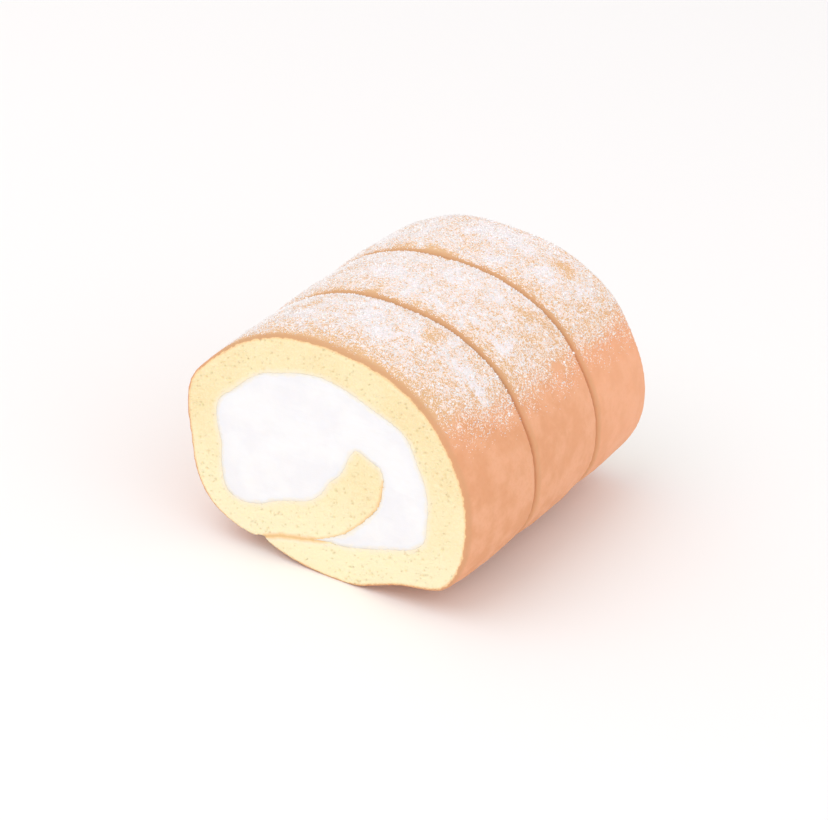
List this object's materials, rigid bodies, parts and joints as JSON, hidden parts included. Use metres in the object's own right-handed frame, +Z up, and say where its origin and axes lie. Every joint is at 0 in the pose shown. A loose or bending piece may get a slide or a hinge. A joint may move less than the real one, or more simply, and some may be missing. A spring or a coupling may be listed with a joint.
{
  "type": "roll cake",
  "caption": "Sponge roll cake with a whipped cream filling and a curled inner end, cut into thick slices that still stand together.",
  "frame": {"origin": "under the middle of the cake, on the surface that it stands on", "axes": "+Z up; the roll's axis runs along Y and the front cut face looks towards -Y; +X to the right of someone facing that cut"},
  "size_m": [0.1054, 0.104, 0.0782],
  "materials": {
    "sponge": "soft open crumb with a golden-brown baked skin, dusted with icing sugar",
    "cream": "smooth white whipped cream with a soft sheen",
    "icing_sugar": "fine white icing sugar, sieved over the top in a patchy layer"
  },
  "bodies": {
    "root": {"front_slice_sponge": "sponge", "middle_slice_sponge": "sponge", "back_slice_sponge": "sponge", "front_slice_cream": "cream", "middle_slice_cream": "cream", "back_slice_cream": "cream"}
  },
  "joints": []
}
